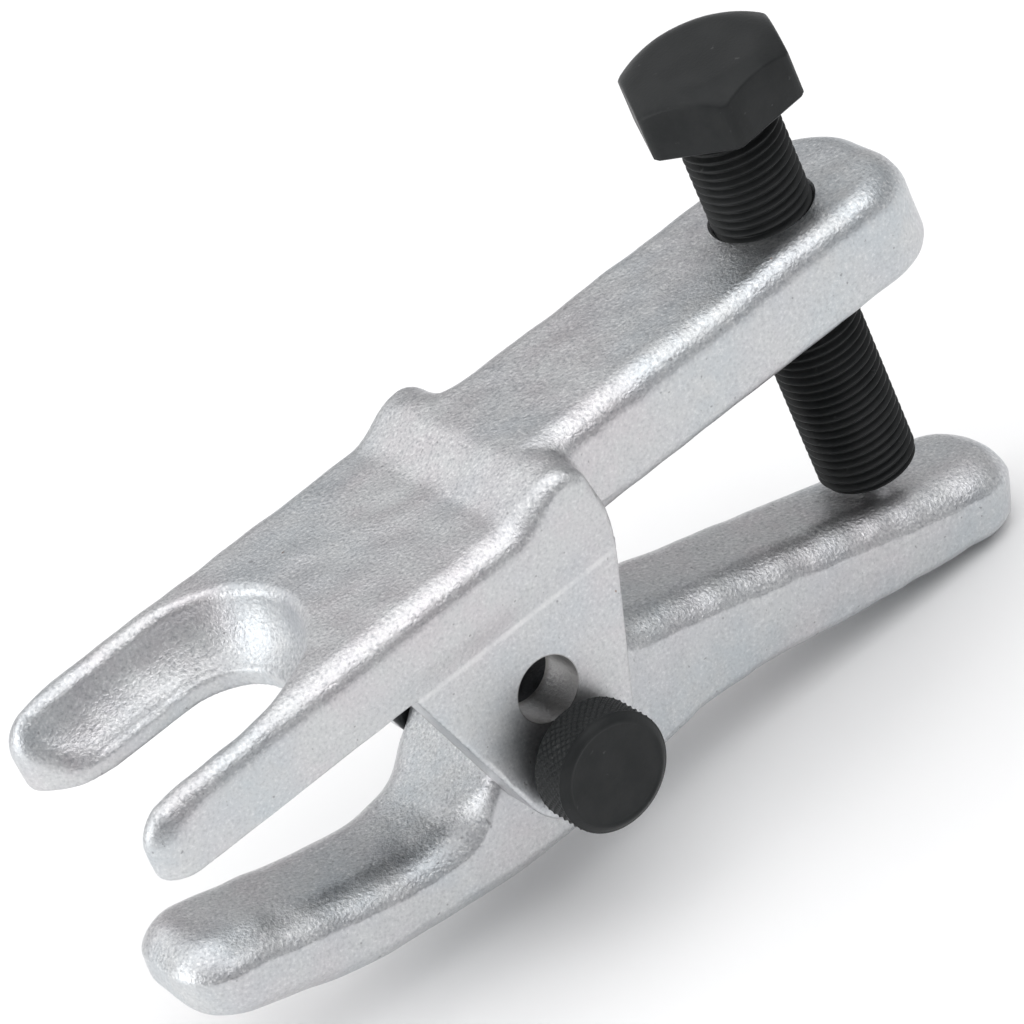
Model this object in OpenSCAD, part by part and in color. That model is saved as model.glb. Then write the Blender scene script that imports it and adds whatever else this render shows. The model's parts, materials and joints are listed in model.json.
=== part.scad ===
// Ball joint separator with a two-position hinge.
// A forged fork jaw carries a forged lever on a removable pivot pin. A forcing screw at the far
// end of the jaw's arm pushes the lever's tail down, so its nose closes on the fork.
// Origin: centre of the fork slot's round root, in the plane of the fork's underside.
// +X runs back along the arm, +Y across, +Z up. Millimetres.

/* [Fork] */
// Radius of the fork slot's root, half the slot's width
slot_r = 11; // [8:0.5:14]
// Height of the slot's upright wall above the fork's underside
slot_wall_h = 3; // [1:0.5:5]
// Radius of the ball that the dished seat above the wall is shaped to
seat_ball_r = 17.4; // [16.8:0.1:18]
// Half the fork's width over the tines and cheeks
fork_half_w = 22; // [20:0.5:25]
// Thickness of the fork plate
fork_t = 13.2; // [10:0.1:16]
// Reach of the tines in front of the slot's centre
tine_reach = 25; // [18:0.2:30]

/* [Shoulder] */
// Where the fork's flat top ends and starts to rise
ramp_start_x = 44; // [38:0.5:46]
// Where the shoulder is highest
ridge_x = 54; // [52:0.2:55]
// Height of the shoulder's ridge
ridge_z = 17; // [16.6:0.1:20]
// Rear end of the wide body
body_end_x = 60; // [58:0.1:64]

/* [Arm] */
// Half the arm's width
arm_half_w = 14.8; // [12:0.2:17]
// Height of the arm's top face
arm_top_z = 16.5; // [15:0.1:18]
// Height of the arm's underside
arm_bottom_z = 0.2; // [0:0.1:4]
// Distance from the slot's centre to the forcing screw's axis
screw_x = 111.7; // [100:0.5:125]
// Extra length between the screw's axis and the centre of the arm's round end
arm_end_offset = 7.6; // [4:0.2:12]

/* [Hinge] */
// Distance from the slot's centre to the two pivot holes
pivot_x = 39; // [36:0.5:42]
// Height of the lower pivot hole, the one in use
pivot_z = -24.9; // [-28:0.1:-22]
// Distance between the two pivot holes
hole_spacing = 12.33; // [11:0.1:14]
// Radius of the pivot holes
hole_r = 5.25; // [5.2:0.05:5.5]
// Thickness of each cheek
cheek_t = 8.4; // [7:0.1:8.6]
// Radius of the cheeks' round lower ends
cheek_end_r = 10.6; // [9:0.1:12]

/* [Forcing screw] */
// Outer radius of the thread
thread_r = 8; // [7.5:0.05:8]
// Pitch of the thread
pitch = 1.5; // [1:0.25:2]
// Depth of the thread
thread_depth = 0.92; // [0.5:0.01:1]
// Size of the hexagon across its flats
hex_af = 24; // [22:1:27]
// Height of the hexagon head
hex_h = 9.8; // [8:0.1:12]
// Height of the head's underside above the fork's underside
head_z = 35.2; // [30:0.1:40]
// Height of the screw's end face
tip_z = -35; // [-35.2:0.1:-34]
// Radius of the thrust ball in the screw's end
ball_r = 3; // [2.5:0.1:3]

/* [Pivot pin] */
// Radius of the pin's shank
pin_r = 5; // [4.8:0.05:5]
// Radius of the pin's knurled head
knob_r = 9.6; // [8:0.1:10]
// Thickness of the pin's head
knob_t = 9.7; // [8:0.1:12]
// Radius of the plain collar between the knurled head and the cheek
collar_r = 7.6; // [6:0.1:9]
// Height of the collar
collar_h = 1.8; // [0.5:0.1:3]
// Radius of the detent ball in the shank
detent_r = 2; // [1.5:0.1:2]

/* [Lever] */
// Half the lever's width between the cheeks
lever_boss_half_w = 13.3; // [12.5:0.1:13.3]
// Half the lever's width along its nose and its tail
lever_half_w = 11.6; // [10:0.1:12.5]

/* [Hidden] */
$fn = 64;

through = 1;                          // how far a cut runs past the face it starts from
bite = 1;                             // how far a fillet's block runs into the body it grows from
steel = [0.72, 0.74, 0.77];
black_oxide = [0.10, 0.10, 0.11];
edge_r = 3.6;                         // round along the fork's top edges
arm_edge_r = 4.8;                     // round along the arm's top edges
neck_fillet_r = 5.5;                  // plan fillet between the arm and the shoulder
arm_end_x = screw_x + arm_end_offset;
screw_bore_r = thread_r + 0.06;       // running clearance for the thread
rim_r = 8.53;                         // countersink round the screw's hole
rim_h = 0.5;
upper_hole_z = pivot_z + hole_spacing;
cheek_front_x = 20.2;                 // front edge of the cheeks where they meet the fork's underside
body_rear_lean = 1.4;                 // how far the body's rear face leans forward down to the underside
// The seat's ball meets the slot's wall at the wall's top edge
seat_ball_z = slot_wall_h + sqrt(seat_ball_r ^ 2 - slot_r ^ 2);

// Lever: height of the top face and of the underside along X
lever_front_x = -26.7;
lever_rear_x = 132.2;
lever_top_r = 5.5;
lever_bottom_r = 4;
tail_under_screw_z = -37;
tail_slope = -0.31;
function tail_z(x) = tail_under_screw_z + tail_slope * (x - screw_x);
lever_top = [[-26.7, -29.2], [-24.8, -25.2], [-14.8, -23.9], [-7.6, -26], [-0.4, -28.1], [6.8, -30.1],
             [13, -31.2], [19.4, -31.1], [23.2, -29.8], [26.3, -28.2], [28.9, -26.3], [32.2, -22.7],
             [35.3, -19.9], [39, -18.4], [44, -17.9], [50, tail_z(50) - 0.4], [58, tail_z(58)],
             [90, tail_z(90)], [124, tail_z(124)], [129.2, tail_z(129.2) - 0.4], [132.2, -46]];
lever_bottom = [[-26.7, -31.6], [-24.8, -33.4], [-15.5, -36.8], [-7.3, -40], [0.2, -42.4], [12.6, -44.3],
                [23.8, -45], [33.9, -44.8], [45, -44], [56.2, -43.1], [65.7, -43], [77.3, -44.3],
                [91.2, -47.3], [104.9, -49.9], [119.1, -52.4], [128.2, -53.5], [132.2, -49.6]];
tail_r = 11.2;
tail_end_x = lever_rear_x - tail_r;
lever_width = [[-26.7, 4], [-25, 8], [-21.4, 10.8], [-17.6, lever_half_w], [10, lever_half_w],
               [24, lever_boss_half_w - 0.3], [29, lever_boss_half_w], [50, lever_boss_half_w],
               [58, 12.6], [72, lever_half_w], [110, tail_r + 0.2], [tail_end_x, tail_r]];

// The tail ends in a half circle, drawn short of its last point so that its sections keep some width
function lever_half_width(x) =
    x < tail_end_x ? curve(lever_width, x)
    : max(1.2, tail_r * sqrt(max(0, 1 - ((x - tail_end_x) / tail_r) ^ 2)));

// Smooth curve through [x, value] points, as a cubic with the points' mean slopes
function slope_at(t, i) =
    i == 0 ? (t[1][1] - t[0][1]) / (t[1][0] - t[0][0]) :
    i == len(t) - 1 ? (t[i][1] - t[i - 1][1]) / (t[i][0] - t[i - 1][0]) :
    (t[i + 1][1] - t[i - 1][1]) / (t[i + 1][0] - t[i - 1][0]);
function cubic(a, b, ma, mb, h, s) =
    a * (2 * s ^ 3 - 3 * s ^ 2 + 1) + ma * h * (s ^ 3 - 2 * s ^ 2 + s)
    + b * (3 * s ^ 2 - 2 * s ^ 3) + mb * h * (s ^ 3 - s ^ 2);
function span(t, x, i = 0) = i >= len(t) - 2 || x < t[i + 1][0] ? i : span(t, x, i + 1);
function curve(t, x) =
    let (i = span(t, x), h = t[i + 1][0] - t[i][0])
    cubic(t[i][1], t[i + 1][1], slope_at(t, i), slope_at(t, i + 1), h, (x - t[i][0]) / h);

function arc(cx, cy, r, from, to, n = 10) =
    [for (i = [0:n]) let (a = from + (to - from) * i / n) [cx + r * cos(a), cy + r * sin(a)]];

// Points of a rectangle section with round corners, from the middle of its top
function section(half_w, top, bottom, top_r, bottom_r) =
    let (tr = min(top_r, (top - bottom) / 2 - 0.05, half_w - 0.2),
         br = min(bottom_r, (top - bottom) / 2 - 0.05, half_w - 0.2))
    concat(arc(half_w - tr, top - tr, tr, 90, 0, 5), arc(half_w - br, bottom + br, br, 0, -90, 5),
           arc(br - half_w, bottom + br, br, -90, -180, 5), arc(tr - half_w, top - tr, tr, 180, 90, 5));

// An outline in X and Z, given thickness along Y
module across(half_w) rotate([90, 0, 0]) linear_extrude(2 * half_w, center = true) children();

// An outline in Y and Z, drawn out along X
module along_x(length) rotate([90, 0, 90]) linear_extrude(length) children();

module mirrored_y() {
    children();
    mirror([0, 1, 0]) children();
}

// ---- Upper jaw: fork, shoulder, arm and the two hinge cheeks, one forging ----

tine_inner_y = slot_r + 0.4;           // clear of the slot's wall, so the cut leaves no sliver
tine_tip_r = (fork_half_w - tine_inner_y) / 2;

module fork_plan() {
    mirrored_y() {
        translate([-tine_reach + tine_tip_r, tine_inner_y + tine_tip_r]) circle(tine_tip_r);
        translate([-tine_reach + tine_tip_r, tine_inner_y])
            square([tine_reach + 4, fork_half_w - tine_inner_y]);
    }
    translate([0, -fork_half_w]) square([body_end_x, 2 * fork_half_w]);
}

// Side outline of the fork and shoulder, with blunt tips and a slow rise to the ridge
module fork_side() {
    top_r = 8;
    bottom_r = 2.6;
    rear_r = 3.8;
    rise = ridge_z - fork_t;
    ramp = [for (i = [0:8]) let (s = i / 8)
            [ramp_start_x + s * (ridge_x - ramp_start_x), fork_t + rise * (3 * s ^ 2 - 2 * s ^ 3)]];
    polygon(concat(arc(-tine_reach + top_r, fork_t - top_r, top_r, 180, 90), ramp,
                   arc(body_end_x - rear_r, ridge_z - rear_r, rear_r, 80, 0, 6),
                   [[body_end_x, 6], [body_end_x - body_rear_lean, 0]],
                   arc(bottom_r - tine_reach, bottom_r, bottom_r, -90, -180, 6)));
}

// The fork seen from its end: flat underside and round top edges
module fork_end_section() {
    polygon(concat([[-fork_half_w, -through]],
                   arc(edge_r - fork_half_w, ridge_z - edge_r, edge_r, 180, 90, 8),
                   arc(fork_half_w - edge_r, ridge_z - edge_r, edge_r, 90, 0, 8),
                   [[fork_half_w, -through]]));
}

module fork_plate() {
    intersection() {
        translate([0, 0, -through]) linear_extrude(ridge_z + 2 * through) fork_plan();
        across(fork_half_w + through) fork_side();
        union() {
            translate([-tine_reach - through, 0, fork_t - ridge_z]) along_x(ramp_start_x + tine_reach)
                fork_end_section();
            translate([ramp_start_x - 2, 0, 0]) along_x(body_end_x) fork_end_section();
        }
    }
}

module arm() {
    arm_start = pivot_x - 4;
    bottom_r = 3;
    profile = section(arm_half_w, arm_top_z, arm_bottom_z, arm_edge_r, bottom_r);
    translate([arm_start, 0, 0]) along_x(arm_end_x - arm_start) polygon(profile);
    translate([arm_end_x, 0, 0]) rotate_extrude() intersection() {
        polygon(profile);
        square(2 * arm_half_w);
    }
    mirrored_y() neck_fillet();
}

// Plan fillet where the arm leaves the shoulder
module neck_fillet() {
    corner = neck_fillet_r + bite;
    translate([body_end_x - bite, arm_half_w - bite, arm_bottom_z + bite])
        linear_extrude(arm_top_z - arm_bottom_z - arm_edge_r) difference() {
            square(corner);
            translate([corner, corner]) circle(neck_fillet_r);
        }
}

// Cheek outline: round about the pivot, widening to the fork plate
module cheek_outline() {
    hull() {
        translate([pivot_x, pivot_z]) circle(cheek_end_r, $fn = 48);
        polygon([[cheek_front_x, 0.5], [body_end_x - body_rear_lean, 0], [body_end_x - 0.5, 4],
                 [cheek_front_x + 0.8, 4]]);
    }
}

module cheeks() {
    mirrored_y() translate([0, fork_half_w - cheek_t / 2, 0]) across(cheek_t / 2) cheek_outline();
}

// The slot, with a dished seat that follows a ball at its root and a cylinder along the tines
module slot_cut() {
    reach = tine_reach + through;
    translate([0, 0, -through]) cylinder(r = slot_r, h = fork_t + 2 * through);
    translate([-reach, -slot_r, -through]) cube([reach, 2 * slot_r, fork_t + 2 * through]);
    translate([0, 0, seat_ball_z]) {
        sphere(seat_ball_r);
        rotate([0, -90, 0]) cylinder(r = seat_ball_r, h = reach);
    }
}

module upper_jaw() {
    color(steel) difference() {
        union() {
            fork_plate();
            arm();
            cheeks();
        }
        slot_cut();
        for (z = [pivot_z, upper_hole_z])
            translate([pivot_x, 0, z]) rotate([90, 0, 0])
                cylinder(r = hole_r, h = 2 * fork_half_w + 2 * through, center = true);
        translate([screw_x, 0, arm_bottom_z - through])
            cylinder(r = screw_bore_r, h = arm_top_z - arm_bottom_z + 2 * through);
        translate([screw_x, 0, arm_top_z - rim_h])
            cylinder(r1 = screw_bore_r, r2 = 2 * rim_r - screw_bore_r, h = 2 * rim_h);
    }
}

// ---- Lower lever: nose, hinge boss and tail, one forging ----

lever_length = lever_rear_x - lever_front_x;
lever_steps = 64;
// Stations crowd towards the two round ends
lever_x = [for (i = [0:lever_steps]) lever_front_x + lever_length * (1 - cos(180 * i / lever_steps)) / 2];

module lower_lever() {
    rings = [for (x = lever_x) [for (p = section(lever_half_width(x), curve(lever_top, x),
                                                 curve(lever_bottom, x), lever_top_r, lever_bottom_r))
                                  [x, p[0], p[1]]]];
    count = len(rings[0]);
    last = len(rings) - 1;
    points = [for (ring = rings) for (p = ring) p];
    sides = [for (i = [0:last - 1]) for (j = [0:count - 1]) let (k = (j + 1) % count)
             each [[i * count + j, i * count + k, (i + 1) * count + k],
                   [i * count + j, (i + 1) * count + k, (i + 1) * count + j]]];
    front = [[for (j = [count - 1:-1:0]) j]];
    back = [[for (j = [0:count - 1]) last * count + j]];
    color(steel) difference() {
        polyhedron(points, concat(sides, front, back));
        translate([pivot_x, 0, pivot_z]) rotate([90, 0, 0])
            cylinder(r = hole_r, h = 2 * lever_boss_half_w + 2 * through, center = true);
    }
}

// ---- Forcing screw with its hexagon head, thread and captive thrust ball ----

hex_r = hex_af / 2 / cos(30);
hex_turn = 6.2;
hex_flat_r = 10.8;
hex_chamfer = 38;
tip_r = 4.6;
taper_h = 2.7;
lever_gap = 0.25;
ball_z = tail_under_screw_z + (ball_r + lever_gap) / cos(atan(tail_slope));
socket_r = ball_r + 0.05;

// Thread as parallel ridges of the real pitch and depth
module threaded_shaft() {
    bottom = tip_z + taper_h;
    turns = floor((head_z - bottom) / pitch) - 1;
    crest = pitch / 8;
    ridges = [for (i = [0:turns]) let (z = bottom + i * pitch)
              each [[thread_r, z], [thread_r, z + crest],
                    [thread_r - thread_depth, z + pitch / 2], [thread_r - thread_depth, z + pitch / 2 + crest]]];
    rotate_extrude() polygon(concat([[0, tip_z], [tip_r, tip_z]], ridges,
                                    [[thread_r - thread_depth, head_z + 1], [0, head_z + 1]]));
}

module hex_head() {
    intersection() {
        translate([0, 0, head_z]) rotate(hex_turn) cylinder(r = hex_r, h = hex_h, $fn = 6);
        rise = (hex_r - hex_flat_r) * tan(hex_chamfer);
        union() {
            translate([0, 0, head_z]) cylinder(r = hex_r, h = hex_h - rise);
            translate([0, 0, head_z + hex_h - rise]) cylinder(r1 = hex_r, r2 = hex_flat_r, h = rise);
        }
    }
}

module forcing_screw() {
    color(black_oxide) translate([screw_x, 0, 0]) difference() {
        union() {
            threaded_shaft();
            hex_head();
        }
        translate([0, 0, ball_z]) sphere(socket_r);
    }
}

module thrust_ball() {
    color(steel) translate([screw_x, 0, ball_z]) sphere(ball_r);
}

// ---- Pivot pin with its knurled head and detent ----

pin_end_y = fork_half_w + 0.8;
chamfer = 0.9;
detent_y = fork_half_w - cheek_t / 2;
detent_hole_r = detent_r + 0.06;
detent_depth = 8.5;
detent_proud = 0.2;
spring_gap = 0.06;
detent_z = -(pin_r + detent_proud - detent_r);     // ball's centre below the pin's axis
wire_r = 0.22;
coil_r = 1.55;

module pivot_pin() {
    head_y = -fork_half_w - 0.15;
    outline = [[0, head_y - knob_t], [knob_r - chamfer, head_y - knob_t], [knob_r, head_y - knob_t + chamfer],
               [knob_r, head_y - collar_h - chamfer], [knob_r - chamfer, head_y - collar_h],
               [collar_r, head_y - collar_h], [collar_r, head_y], [pin_r, head_y],
               [pin_r, pin_end_y - chamfer], [pin_r - chamfer, pin_end_y], [0, pin_end_y]];
    color(black_oxide) translate([pivot_x, 0, pivot_z]) difference() {
        rotate([-90, 0, 0]) rotate_extrude() polygon(outline);
        translate([0, detent_y, -pin_r - through]) cylinder(r = detent_hole_r, h = detent_depth + through);
    }
}

module detent_ball() {
    color(steel) translate([pivot_x, detent_y, pivot_z + detent_z]) sphere(detent_r, $fn = 32);
}

module detent_spring() {
    seat = detent_depth - pin_r - wire_r - spring_gap;
    ball_side = detent_z + sqrt(detent_r ^ 2 - coil_r ^ 2) + wire_r + 2 * spring_gap;
    turns = 5;
    per_turn = 14;
    sides = 6;
    count = turns * per_turn;
    points = [for (i = [0:count]) let (a = i * 360 / per_turn, z = ball_side + (seat - ball_side) * i / count)
              for (j = [0:sides - 1]) let (b = j * 360 / sides, r = coil_r + wire_r * cos(b))
              [r * cos(a), r * sin(a), z + wire_r * sin(b)]];
    faces = [for (i = [0:count - 1]) for (j = [0:sides - 1]) let (k = (j + 1) % sides)
             each [[i * sides + j, (i + 1) * sides + k, i * sides + k],
                   [i * sides + j, (i + 1) * sides + j, (i + 1) * sides + k]]];
    start = [[for (j = [0:sides - 1]) j]];
    end = [[for (j = [sides - 1:-1:0]) count * sides + j]];
    color(steel) translate([pivot_x, detent_y, pivot_z]) polyhedron(points, concat(faces, start, end));
}

upper_jaw();
lower_lever();
forcing_screw();
thrust_ball();
pivot_pin();
detent_ball();
detent_spring();
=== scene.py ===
import json
import math

import bpy
import numpy as np
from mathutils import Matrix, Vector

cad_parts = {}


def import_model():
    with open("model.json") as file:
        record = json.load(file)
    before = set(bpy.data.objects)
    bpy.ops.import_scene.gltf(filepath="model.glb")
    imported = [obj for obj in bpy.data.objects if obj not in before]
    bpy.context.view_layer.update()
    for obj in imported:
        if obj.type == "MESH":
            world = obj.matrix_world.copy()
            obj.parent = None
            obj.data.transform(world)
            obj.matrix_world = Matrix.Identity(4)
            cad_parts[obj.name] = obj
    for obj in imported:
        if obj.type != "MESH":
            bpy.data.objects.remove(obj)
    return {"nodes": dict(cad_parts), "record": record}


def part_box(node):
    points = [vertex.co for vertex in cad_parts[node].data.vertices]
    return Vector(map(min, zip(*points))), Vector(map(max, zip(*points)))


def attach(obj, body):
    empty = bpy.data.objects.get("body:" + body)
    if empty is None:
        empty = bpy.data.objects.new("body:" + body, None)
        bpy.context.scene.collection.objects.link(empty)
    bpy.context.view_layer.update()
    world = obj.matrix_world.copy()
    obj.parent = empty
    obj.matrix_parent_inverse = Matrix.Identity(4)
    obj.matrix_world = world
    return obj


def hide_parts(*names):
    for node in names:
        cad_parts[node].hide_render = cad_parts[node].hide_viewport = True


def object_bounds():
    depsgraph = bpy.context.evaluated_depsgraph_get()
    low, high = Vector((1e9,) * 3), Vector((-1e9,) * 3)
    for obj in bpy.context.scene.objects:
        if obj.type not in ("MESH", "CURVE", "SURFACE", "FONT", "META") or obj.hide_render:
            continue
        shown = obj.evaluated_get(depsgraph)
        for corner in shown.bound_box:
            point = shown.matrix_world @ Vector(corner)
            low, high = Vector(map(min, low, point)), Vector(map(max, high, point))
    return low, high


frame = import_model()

import openvdb
from mathutils import Matrix, Vector

cad_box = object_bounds()

# ---------------------------------------------------------------- sizes, in mm
# Shapes are worked out in millimetres in the CAD frame, and turned to metres as meshes are made.
MM = 0.001


def node_box(node):
    """Lowest and highest corner of a CAD node, in mm."""
    low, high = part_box(node)
    return Vector(low) / MM, Vector(high) / MM


def joint(name):
    return next(j for j in frame["record"]["behaviour"]["joints"] if j["name"] == name)


def mount(name):
    return next(m for m in frame["record"]["mounts"] if m["name"] == name)


JAW_LOW, JAW_HIGH = node_box("upper_jaw")
LEVER_LOW, LEVER_HIGH = node_box("lower_lever")
SCREW_LOW, SCREW_HIGH = node_box("forcing_screw")
PIN_LOW, PIN_HIGH = node_box("pivot_pin")
PIVOT_X, _, PIVOT_Z = (v / MM for v in joint("lever_swing")["pos_m"])
SCREW_X = joint("screw_turn")["pos_m"][0] / MM
UPPER_HOLE_Z = mount("upper_pivot_holes")["pos_m"][2] / MM
HOLE_R = mount("upper_pivot_holes")["dims"]["r_mm"]
SLOT_R = mount("fork_slot")["dims"]["r_mm"]
WALL_H = mount("fork_slot")["dims"]["length_mm"]
VOXEL = 0.36


# ---------------------------------------------------------------- distance fields
def round_and(a, b, r):
    """Where both fields are solid, with a convex round edge of radius r."""
    return np.minimum(np.maximum(a, b), -r) + np.hypot(np.maximum(a + r, 0), np.maximum(b + r, 0))


def round_or(a, b, r):
    """Where either field is solid, with a concave fillet of radius r."""
    return np.maximum(np.minimum(a, b), r) - np.hypot(np.maximum(r - a, 0), np.maximum(r - b, 0))


def step(v, low, high):
    """0 at low, 1 at high, smooth between."""
    s = np.clip((v - low) / (high - low), 0, 1)
    return s * s * (3 - 2 * s)


def mix(a, b, t):
    """a where t is 0, b where t is 1."""
    return a + (b - a) * t


def beyond(v, limit):
    """How far v is past a limit, and 0 before it."""
    return np.maximum(v - limit, 0)


def curve(points, x):
    """Smooth curve through (x, value) points: a cubic with the points' mean slopes. Gives value and slope."""
    px, pv = np.array(points, float).T
    m = np.empty_like(pv)
    m[1:-1] = (pv[2:] - pv[:-2]) / (px[2:] - px[:-2])
    m[0] = (pv[1] - pv[0]) / (px[1] - px[0])
    m[-1] = (pv[-1] - pv[-2]) / (px[-1] - px[-2])
    xc = np.clip(x, px[0], px[-1])
    i = np.clip(np.searchsorted(px, xc, side="right") - 1, 0, len(px) - 2)
    h = px[i + 1] - px[i]
    s = (xc - px[i]) / h
    value = (pv[i] * (2 * s ** 3 - 3 * s ** 2 + 1) + m[i] * h * (s ** 3 - 2 * s ** 2 + s)
             + pv[i + 1] * (3 * s ** 2 - 2 * s ** 3) + m[i + 1] * h * (s ** 3 - s ** 2))
    slope = (pv[i] * (6 * s * s - 6 * s) / h + m[i] * (3 * s * s - 4 * s + 1)
             + pv[i + 1] * (6 * s - 6 * s * s) / h + m[i + 1] * (3 * s * s - 2 * s))
    outside = (x < px[0]) | (x > px[-1])
    return value + np.where(outside, m[np.where(x < px[0], 0, -1)] * (x - xc), 0), slope


def waviness(x, y, z, seed, wavelength, count=14):
    """Gentle unevenness of a forged skin, about -1 to 1, as a sum of plane waves."""
    rng = np.random.default_rng(seed)
    total = 0
    for _ in range(count):
        d = rng.normal(size=3)
        d *= 2 * math.pi / (wavelength * rng.uniform(0.6, 1.5)) / np.linalg.norm(d)
        total = total + np.sin(d[0] * x + d[1] * y + d[2] * z + rng.uniform(0, 2 * math.pi))
    return total / math.sqrt(count)


def mesh_from_field(name, field, low, high):
    """The surface where field(x, y, z) is 0, as an object in metres."""
    pad = 3 * VOXEL
    axes = [np.arange(low[k] - pad, high[k] + pad + VOXEL, VOXEL, dtype=np.float32) for k in range(3)]
    x, y, z = np.meshgrid(*axes, indexing="ij", sparse=True)
    values = np.clip(field(x, y, z), -pad, pad).astype(np.float32)
    grid = openvdb.FloatGrid(pad)
    grid.copyFromArray(np.ascontiguousarray(values))
    points, triangles, quads = grid.convertToPolygons(isovalue=0.0, adaptivity=0.0)
    points = points * VOXEL + np.array([a[0] for a in axes])
    faces = [tuple(int(v) for v in face[::-1]) for face in (*quads, *triangles)]
    return new_object(name, points, faces)


def new_object(name, points, faces, smooth=True):
    """A mesh object from points in mm."""
    mesh = bpy.data.meshes.new(name)
    mesh.from_pydata((np.asarray(points, float) * MM).tolist(), [], faces)
    mesh.validate()
    mesh.update()
    if smooth:
        mesh.shade_smooth()
    obj = bpy.data.objects.new(name, mesh)
    bpy.context.scene.collection.objects.link(obj)
    return obj


# ---------------------------------------------------------------- bores
SHARP_ANGLE = math.radians(38)       # an edge sharper than this stays crisp where a bore was cut


def ring_angles(columns):
    return np.arange(columns) * 2 * math.pi / columns


def cylinder_cutter(start, end, radius, end_radius=None, segments=160):
    """A round bar or cone between two points in mm, to cut a bore with."""
    start, end = Vector(start), Vector(end)
    turn = (end - start).to_track_quat("Z", "Y").to_matrix()
    points = []
    for base, r in ((start, radius), (end, end_radius or radius)):
        points += [base + turn @ Vector((r * math.cos(a), r * math.sin(a), 0)) for a in ring_angles(segments)]
    faces = [(i, (i + 1) % segments, segments + (i + 1) % segments, segments + i) for i in range(segments)]
    faces += [tuple(range(segments - 1, -1, -1)), tuple(range(segments, 2 * segments))]
    return new_object("cutter", points, faces, smooth=False)


def cross_bore(radius, x, z, half_length):
    """A cutter for a bore that runs across the tool."""
    return cylinder_cutter((x, -half_length, z), (x, half_length, z), radius)


def cut(obj, cutters):
    """Cuts bores out of a mesh, and keeps their rims crisp."""
    for tool in cutters:
        modifier = obj.modifiers.new("bore", "BOOLEAN")
        modifier.operation = "DIFFERENCE"
        modifier.solver = "MANIFOLD"
        modifier.object = tool
        apply_modifiers(obj)
        bpy.data.objects.remove(tool)
    obj.data.set_sharp_from_angle(angle=SHARP_ANGLE)


def apply_modifiers(obj):
    graph = bpy.context.evaluated_depsgraph_get()
    mesh = bpy.data.meshes.new_from_object(obj.evaluated_get(graph))
    obj.modifiers.clear()
    obj.data = mesh


# ---------------------------------------------------------------- upper jaw
FORK_HALF_W = JAW_HIGH.y
FORK_T = 13.2
TINE_X = JAW_LOW.x
TINE_OUTER_R, TINE_INNER_R = 5.0, 8.0        # corners of a tine's end in plan
TIP_FLARE = 1.7          # how much wider the slot is between the tips of the tines, each side
TIP_FADE_X = (TINE_X + 2, TINE_X + 12)       # over this stretch a tip's own shape gives way to the tine's
DRAFT = 0.012            # sideways lean of the forging's walls above the parting plane, per mm of height
FORGED_PROUD = 0.65      # the forged skin stands proud of the milled cheeks
PROUD_Z = (-0.5, 5.5)    # heights over which it comes out

TINE_EDGE_R, TIP_EDGE_R, SHOULDER_EDGE_R = 4.4, 7.3, 2.5       # the top's long edges
SHOULDER_EDGE_X = (42, 57)
EDGE_Z = (1, 8)          # the edge's round tightens from the upper to the lower of these heights
EDGE_TIGHT = 0.15        # to this share
TIP_UNDER_R, UNDER_R = 1.6, 0.3              # the underside's edge at the tips and behind them
UNDER_FADE_TIP_X = (TINE_X + 1, TINE_X + 7)

RAMP_START_X, RAMP_END_X = 43.5, 53.5
CORNER_DROP = 0.3        # the shoulder's corners lie a little lower than its middle
CORNER_Y = (13, 19.5)
BODY_END_X = 59.6
REAR_LOW_LEAN, REAR_HIGH_LEAN = 0.2, 0.15    # the shoulder's back leans forward below and above its middle
REAR_LOW_Z, REAR_HIGH_Z = 6.5, 7.0
REAR_NORM = 0.98         # brings the leaning back's field close to a true distance
REAR_EDGE_R = 4.0

SEAT_BALL_R = 17.4
SEAT_BALL_Z = WALL_H + math.sqrt(SEAT_BALL_R ** 2 - SLOT_R ** 2)
LEDGE_H = 0.5            # height of the little ledge that the forging die left above the slot's wall
ROOT_SHIFT = 0.35        # the wall's worn root stands a little forward of the seat's
ROOT_RIM_R, NEAR_RIM_R, FAR_RIM_R = 1.3, 5.0, 1.8              # the seat's rim at its root and on either tine
RIM_FADE_X = (-6, 8)

ARM_HALF_W = 14.95
ARM_TOP_Z, ARM_BOTTOM_Z = 16.5, 0.2
ARM_START_X = 40         # hidden inside the fork
ARM_TIP_X = JAW_HIGH.x - 1.45
ARM_DRAFT = 0.4 * DRAFT
ARM_EDGE_R, ARM_TIP_EDGE_R, ARM_UNDER_R = 4.6, 6.0, 3.0
ARM_TIP_FADE_X = (JAW_HIGH.x - 12.8, JAW_HIGH.x - 2.8)
ARM_CORNER_R = 11.5      # corners of the arm's end in plan

NECK_R = 5.5             # plan fillet between the arm's side and the shoulder's back
NECK_BACK_X, NECK_SIDE_Y = BODY_END_X - 0.9, 14.6              # walls that the fillet joins
NECK_X, NECK_HALF_W = (50, 66), 19.5         # the fillet is kept to this block
NECK_TOP_Z, NECK_BOTTOM_Z = 16.0, ARM_BOTTOM_Z + 3.2
NECK_FALL = 0.12         # its top falls to the rear, and its back leans forward, per mm
NECK_FALL_X, NECK_FALL_Z = 58, 7.0
NECK_EDGE_R, NECK_BLEND_R = 4.2, 1.2

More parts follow.
